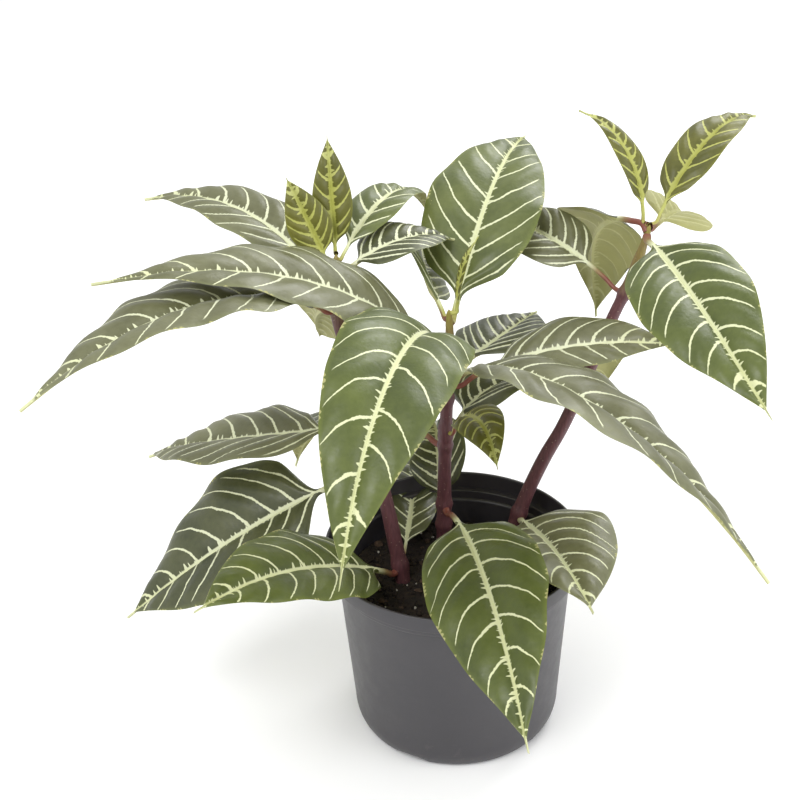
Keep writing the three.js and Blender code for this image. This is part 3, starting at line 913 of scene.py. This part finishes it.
RED_STALK = ("#7d4638", "#99905a")
GREEN_STALK = ("#a39a4e", "#b5b865")
deep_blade = waxy_blade(
    "leaf_waxy_deep_green", "#3b4027", "#56593a", "#d9dcba", "#76803f", RED_STALK)
bright_blade = waxy_blade(
    "leaf_waxy_bright_green", "#454f21", "#5a642a", "#d9dcb2", "#7a8436", RED_STALK)
fresh_blade = waxy_blade(
    "leaf_waxy_fresh_green", "#4d562b", "#666e3a", "#dbdeb6", "#7f8a3c", GREEN_STALK)
# Painted sheen: these lighter, greyer greens stand for the grey highlight of the lamps on the wax.
painted_sheen_blade = waxy_blade(
    "leaf_waxy_painted_grey_sheen", "#5a5b3c", "#757656", "#d9dcba", "#84895a", RED_STALK)
olive_blade = waxy_blade(
    "leaf_waxy_olive", "#505118", "#6c6b26", "#aeb05a", "#8b8e2e", GREEN_STALK, 0.44)
upper_faces = (deep_blade, bright_blade, fresh_blade, painted_sheen_blade, olive_blade)
print("upper faces:", [material.name for material in upper_faces])

# %% [markdown]
# The underside has no wax. Its hairs and open pores scatter the light, so the eye gets a pale,
# flat green in which the veins are only a little lighter but stand proud.

# %% Matt under faces


def matt_underside(name, dark, light, vein):
    material, shader = new_material(name)
    place = add_node(material, "TexCoord").outputs["Object"]
    cream, along, _, _ = vein_pattern(material, place)
    broad = add_node(material, "TexNoise", {"Vector": place, "Scale": 1 / (18 * MM), "Detail": 4.0})
    green = add_node(material, "Mix", {0: broad, 6: linear(dark), 7: linear(light)}, data_type="RGBA")
    soft = add_node(material, "Math", {0: cream, 1: 0.6}, operation="MULTIPLY")
    striped = add_node(material, "Mix", {
        0: soft, 6: green.outputs[2], 7: linear(vein)}, data_type="RGBA")
    base = add_node(material, "MapRange", {"Value": along, "From Min": 2.0, "From Max": -7.0})
    stalk = add_node(material, "MapRange", {"Value": along, "From Min": -14.0, "From Max": -2.0})
    stalk_tone = add_node(material, "Mix", {
        0: stalk, 6: linear("#7d4638"), 7: linear("#8f8a58")}, data_type="RGBA")
    final = add_node(material, "Mix", {
        0: base, 6: striped.outputs[2], 7: stalk_tone.outputs[2]}, data_type="RGBA")
    net = add_node(material, "TexVoronoi", {
        "Vector": place, "Scale": 1 / (2.2 * MM)}, feature="SMOOTH_F1")
    proud = add_node(material, "Math", {0: cream, 1: net.outputs["Distance"]}, operation="ADD")
    bump = add_node(material, "Bump", {"Height": proud, "Strength": 0.4, "Distance": 0.5 * MM})
    link = material.node_tree.links.new
    link(final.outputs[2], shader.inputs["Base Color"])
    link(bump.outputs[0], shader.inputs["Normal"])
    shader.inputs["Roughness"].default_value = 0.62
    shader.inputs["IOR"].default_value = PLANT_IOR
    return material


pale_underside = matt_underside("leaf_underside_matt_pale", "#94935a", "#aeac74", "#c4c38e")
olive_underside = matt_underside("leaf_underside_matt_olive", "#7c8034", "#93963f", "#b4b860")
print("under faces:", pale_underside.name, olive_underside.name)

# %% [markdown]
# ## A leaf's frame
# For every ring of a leaf solid this finds the two margins, the middle, and which way is up.
# The section has three points between its margins over the top and four underneath, so
# counting them tells the top from the underside.

# %% Read a leaf's line and size
# Where a solid's ten blade rings stand, as shares of the blade's length.
BLADE_PLACES = np.array([0.03, 0.1, 0.2, 0.32, 0.45, 0.58, 0.7, 0.81, 0.9, 0.965])
PETIOLE_SHARE = 0.92  # the last of the three petiole rings, as a share of the petiole
FOLD = math.radians(7)  # how far each half of a blade is folded up
WIDEST_RING = 7
OUTLINE_BASE, OUTLINE_TIP = 0.72, 1.1


def outline_share(place):
    """Half the blade's width, as a share of its greatest, along its length."""
    widest = OUTLINE_BASE / (OUTLINE_BASE + OUTLINE_TIP)
    place = np.clip(place, 0, 1)
    return (place / widest) ** OUTLINE_BASE * ((1 - place) / (1 - widest)) ** OUTLINE_TIP


def read_leaf(name):
    """Middles, across and up directions of a leaf's rings, with its petiole, length and width."""
    stem, root = leaf_stems[name]
    rings = rings_of(name, LEAF_SIDES, root)
    gaps = np.linalg.norm(rings[WIDEST_RING][:, None] - rings[WIDEST_RING][None], axis=2)
    first, second = sorted(np.unravel_index(gaps.argmax(), gaps.shape))
    if second - first == 4:
        rings = np.roll(rings, -first, 1)
    else:
        rings = np.roll(rings, -second, 1)
    across = rings[:, 4] - rings[:, 0]
    half = np.linalg.norm(across, axis=1) / 2
    across = unit(across)
    upward = rings[:, 2] - (rings[:, 6] + rings[:, 7]) / 2
    upward = unit(upward - across * np.sum(upward * across, axis=1, keepdims=True))
    share = np.concatenate([[0, 0, 0], ease(BLADE_PLACES, 0, 0.15)])
    lift = math.tan(FOLD) * half * share
    middle = (rings[:, 0] + rings[:, 4]) / 2 - upward * lift[:, None]
    steps = lengths_along(middle)
    petiole = steps[2] / PETIOLE_SHARE
    blade = (steps[12] - steps[3]) / (BLADE_PLACES[-1] - BLADE_PLACES[0])
    width = half[WIDEST_RING] / outline_share(BLADE_PLACES[WIDEST_RING - 3])
    on_petiole = [0, petiole * 0.5, petiole * PETIOLE_SHARE]
    places = np.concatenate([on_petiole, petiole + BLADE_PLACES * blade])
    return dict(middle=middle, across=across, upward=upward, places=places, petiole=petiole,
                blade=blade, half=width, root=root)


sample = read_leaf("centre_base_leaf_front")
print("one leaf: petiole", round(sample["petiole"], 1), "blade", round(sample["blade"], 1),
      "half width", round(sample["half"], 1))

# %% [markdown]
# ## The blade's shape
# From rib to margin each half of the blade bulges up, then turns down a little at the edge.
# Between side veins it is quilted, because the veins are tighter than the tissue. The
# margin waves gently, and the tip runs out in a narrow drip point. The petiole is a round
# stalk that flattens into the blade.

# %% Veins of one leaf
VEIN_LEAN = 0.32  # how far a side vein runs forward for each step it goes across, at the rib
VEIN_ARCH = 0.75  # and how much more by the time it nears the margin


def vein_counts(leaf, along, across, share, rng):
    """The vein count and the spacing of veins, at every place of one half of a blade."""
    number = int(round(5.5 + leaf["blade"] / 60))
    starts = ((np.arange(number) + rng.uniform(0.2, 0.7)) / number) ** 1.22 * 0.93 * leaf["blade"]
    spacing = np.gradient(starts)
    starts = starts + rng.uniform(-0.14, 0.14, number) * spacing
    origin = along - across * (VEIN_LEAN + VEIN_ARCH * share)
    known = np.concatenate([[starts[0] - spacing[0]], starts, [starts[-1] + spacing[-1]]])
    counts = np.concatenate([[0.02], np.arange(number) + 0.5, [number - 0.02]])
    return np.interp(origin, known, counts), np.interp(origin, starts, spacing)


# %% Build one leaf
COLUMNS = 33  # points across each face of a blade
BLADE_ROWS = 92
ROW_CROWDING = 0.3  # how much closer rows stand at the ends of a blade than in its middle
PETIOLE_ROWS = 14
TAIL = 0.04  # the drip point's extra length, as a share of the blade
PETIOLE_RADIUS = 1.75  # mm, on a full-grown leaf
THICKNESS = 0.8  # mm, next to the midrib
RIB_HEIGHT = 1.5  # mm that the midrib stands out underneath
RIPPLE_HEIGHT = 1.5  # mm, at the margin
RIPPLE_LENGTH = 38  # mm from one wave of the margin to the next


def leaf_grid(name, seed):
    """Points of a leaf's two faces in mm, row by row from stem to tip, and its maps."""
    leaf = read_leaf(name)
    rng = np.random.default_rng(SEED * 100 + seed)
    petiole, blade = leaf["petiole"], leaf["blade"]
    full = blade * (1 + TAIL)
    stalk_radius = float(np.clip(leaf["half"] / 16, 1.0, PETIOLE_RADIUS))

    # The line through the rings, run on to the drip point and back into the stem.
    heading = unit(leaf["middle"][-1] - leaf["middle"][-2])
    end = leaf["middle"][-1] + heading * (petiole + full - leaf["places"][-1])
    root = leaf["root"] + (leaf["middle"][0] - leaf["root"]) * 0.12
    reach = np.linalg.norm(leaf["middle"][0] - root)
    knots = np.concatenate([[-reach], leaf["places"], [petiole + full]])
    middles = np.vstack([root, leaf["middle"], end])
    ups = np.vstack([leaf["upward"][0], leaf["upward"], leaf["upward"][-1]])
    share_rows = np.linspace(0, 1, BLADE_ROWS)
    crowded = share_rows - ROW_CROWDING * np.sin(2 * math.pi * share_rows) / (2 * math.pi)
    rows = np.concatenate([
        np.linspace(-reach, petiole, PETIOLE_ROWS, endpoint=False),
        petiole + full * crowded,
    ])
    line = smooth(middles, knots, rows)
    along = unit(np.gradient(line, rows, axis=0))
    upward = smooth(ups, knots, rows)
    upward = unit(upward - along * np.sum(upward * along, axis=1, keepdims=True))
    across = np.cross(along, upward)

    # Half widths, to each side its own, with the drip point.
    on_blade = np.clip((rows - petiole) / full, 0, 1)
    outline = leaf["half"] * outline_share(np.clip((rows - petiole) / blade, 0, 1))
    narrowing = np.sqrt(np.clip(1 - on_blade, 0, 1))
    drip = min(2.3, leaf["half"] * 0.12) * narrowing * ease(on_blade, 0.6, 0.95)
    stalk = stalk_radius * (1 + 0.35 * ease(-rows, -4, reach))
    blade_share = ease(on_blade, 0.0, 0.13)
    halves = []
    for side in (0, 1):
        uneven = 1 + 0.05 * wander(rows, seed + side * 31, 34) * ease(on_blade, 0.05, 0.3)
        fading_stalk = stalk * (1 - ease(on_blade, 0, 0.1))
        half = np.maximum(np.maximum(outline * uneven, drip), fading_stalk)
        halves.append(np.where(rows < petiole, stalk, half))

    # Columns run from one margin (-1) to the other (1), closer together at the rib.
    spread = np.linspace(-1, 1, COLUMNS)
    columns = np.sign(spread) * np.abs(spread) ** 1.15
    half = np.where(columns[None] < 0, halves[0][:, None], halves[1][:, None])
    amount = np.broadcast_to(np.abs(columns)[None], half.shape)
    aside = half * amount
    along_mm = np.broadcast_to((rows - petiole)[:, None], half.shape)
    counts, gaps = {}, {}
    for side in (0, 1):
        counts[side], gaps[side] = vein_counts(leaf, along_mm, aside, amount, rng)

    # How far each point stands above the flat: fold, bulge, quilting, groove and waves.
    count = np.where(columns[None] < 0, counts[0], counts[1])
    gap = np.where(columns[None] < 0, gaps[0], gaps[1])
    quilt = 0.5 - 0.5 * np.cos(2 * math.pi * (count - 0.5))
    quilt = quilt * np.sin(math.pi * np.clip(amount, 0, 1)) ** 0.7 * np.clip(gap / 14, 0.2, 1) * 1.15
    bulge = 0.085 * half * np.sin(math.pi * amount ** 0.85)
    fold = math.tan(FOLD) * aside - 0.05 * half * amount ** 5
    groove = -0.7 * np.exp(-(aside / 1.6) ** 2)
    phase = rng.uniform(0, 2 * math.pi, 2)
    swing = np.where(columns[None] < 0, phase[0], phase[1])
    waves = np.sin(2 * math.pi * along_mm / RIPPLE_LENGTH + swing)
    ripple = RIPPLE_HEIGHT * amount ** 2.4 * waves * (half / 34)
    flat = fold + bulge + quilt + groove + ripple

    # The stalk's round section, and the blade's thin one, mixed where one becomes the other.
    turn = columns * math.pi / 2
    mix = blade_share[:, None]
    flat_side = half * columns[None]
    round_side = stalk[:, None] * np.sin(turn)[None]
    sideways = flat_side * mix + round_side * (1 - mix)
    widest = np.maximum(np.abs(sideways), np.abs(round_side) * (1 - mix))
    sideways = np.where(on_blade[:, None] > 0, np.sign(columns)[None] * widest, round_side)
    top = flat * mix + stalk[:, None] * np.cos(turn)[None] * (1 - mix)
    rib_height = RIB_HEIGHT * (1 - 0.75 * on_blade[:, None]) * np.clip(leaf["half"] / 25, 0.3, 1)
    rib = rib_height * np.exp(-(aside / 1.5) ** 2)
    body = THICKNESS * (1 - amount ** 2) * np.clip(half / 12, 0.25, 1)
    under = (flat - body - rib) * mix - stalk[:, None] * np.cos(turn)[None] * (1 - mix)
    under[:, [0, -1]] = top[:, [0, -1]]

    flat_points = line[:, None] + across[:, None] * sideways[..., None]
    upper_points = flat_points + upward[:, None] * top[..., None]
    under_points = flat_points + upward[:, None] * under[..., None]
    length_share = np.broadcast_to(on_blade[:, None], half.shape)
    maps = dict(along=along_mm, aside=flat_side, length=length_share, width=amount,
                counts=counts, gaps=gaps)
    return upper_points, under_points, maps


def leaf_mesh(name, upper, under, maps, materials):
    """Joins the two faces of a leaf at its margins and writes its three maps."""
    rows, columns = upper.shape[:2]
    upper_index = np.arange(rows * columns).reshape(rows, columns)
    under_index = upper_index + rows * columns
    under_index[:, 0], under_index[:, -1] = upper_index[:, 0], upper_index[:, -1]
    faces, sides, face_materials = [], [], []
    for index, flip, number in ((upper_index, False, 0), (under_index, True, 1)):
        for i in range(rows - 1):
            for j in range(columns - 1):
                face = (index[i, j], index[i, j + 1], index[i + 1, j + 1], index[i + 1, j])
                places = ((i, j), (i, j + 1), (i + 1, j + 1), (i + 1, j))
                faces.append(face[::-1] if flip else face)
                sides.append((places[::-1] if flip else places, 0 if j < COLUMNS // 2 else 1))
                face_materials.append(number)
    points = np.vstack([upper.reshape(-1, 3), under.reshape(-1, 3)]) * MM
    mesh = new_mesh(name, points, faces, materials, 70)
    mesh.polygons.foreach_set("material_index", face_materials)
    cells = np.array([place for places, _ in sides for place in places])
    which = np.repeat([side for _, side in sides], 4)
    i, j = cells[:, 0], cells[:, 1]
    counts = np.where(which == 0, maps["counts"][0][i, j], maps["counts"][1][i, j])
    gaps = np.where(which == 0, maps["gaps"][0][i, j], maps["gaps"][1][i, j])
    aside = maps["aside"][i, j] + np.where(which == 0, -1e-3, 1e-3)
    for label, first, second in (
            ("leaf_mm", maps["along"][i, j], aside),
            ("leaf_share", maps["length"][i, j], maps["width"][i, j]),
            ("leaf_veins", counts, gaps)):
        mesh.uv_layers.new(name=label).data.foreach_set("uv", np.stack([first, second], 1).ravel())
    return mesh


# %% [markdown]
# ## All the leaves
# Young leaves near the growing tips are olive and the freshest full leaves are bright. Of the
# rest, those that spread widest get lighter, greyer greens, painted sheen for the grey highlight
# of the lamps on their wax, and the others are deep green. Each is built from its own solid
# with its own seed, so no two have the same veins or waves.

# %% Build the leaves
YOUNG = {
    "left_top_leaf_young", "left_top_leaf_upright", "centre_top_leaf_young",
    "right_top_leaf_narrow", "right_top_leaf_pointed", "centre_lower_leaf_olive",
}
PALE = {"right_leaf_back_pale"}  # this one has turned over as it grew
FRESH = {"centre_top_leaf_large", "centre_top_leaf_back", "left_leaf_curled"}
# Leaves whose greens carry painted sheen: a grey highlight coloured into the blade.
PAINTED_SHEEN = {
    "centre_leaf_front_right_long", "centre_leaf_left_long", "centre_leaf_right",
    "left_leaf_front_long", "left_leaf_back", "left_lower_leaf",
    "right_base_leaf_front", "right_leaf_left",
}
BRIGHT = {
    "centre_leaf_front_left", "centre_base_leaf_front", "right_leaf_front_large",
    "left_base_leaf_over_rim",
}
FINISHES = [
    (YOUNG, olive_blade, olive_underside, "young_leaf"),
    (PALE, pale_underside, pale_underside, "leaf"),
    (FRESH, fresh_blade, pale_underside, "leaf"),
    (PAINTED_SHEEN, painted_sheen_blade, pale_underside, "leaf"),
    (BRIGHT, bright_blade, pale_underside, "leaf"),
    (set(leaf_names), deep_blade, pale_underside, "leaf"),
]


def build_leaf(name, seed):
    """Builds one leaf with the first finish whose set it is in."""
    finish = next(finish for finish in FINISHES if name in finish[0])
    _, upper_face, under_face, slot = finish
    upper, under, maps = leaf_grid(name, seed)
    mesh = leaf_mesh(name + "_blade", upper, under, maps, [upper_face, under_face])
    return show(name + "_blade", mesh, slot, name)


leaf_triangles = 0
for seed, name in enumerate(sorted(leaf_names)):
    piece = build_leaf(name, seed)
    leaf_triangles += 2 * len(piece.data.polygons)
print("leaves:", len(leaf_names), "triangles:", leaf_triangles)
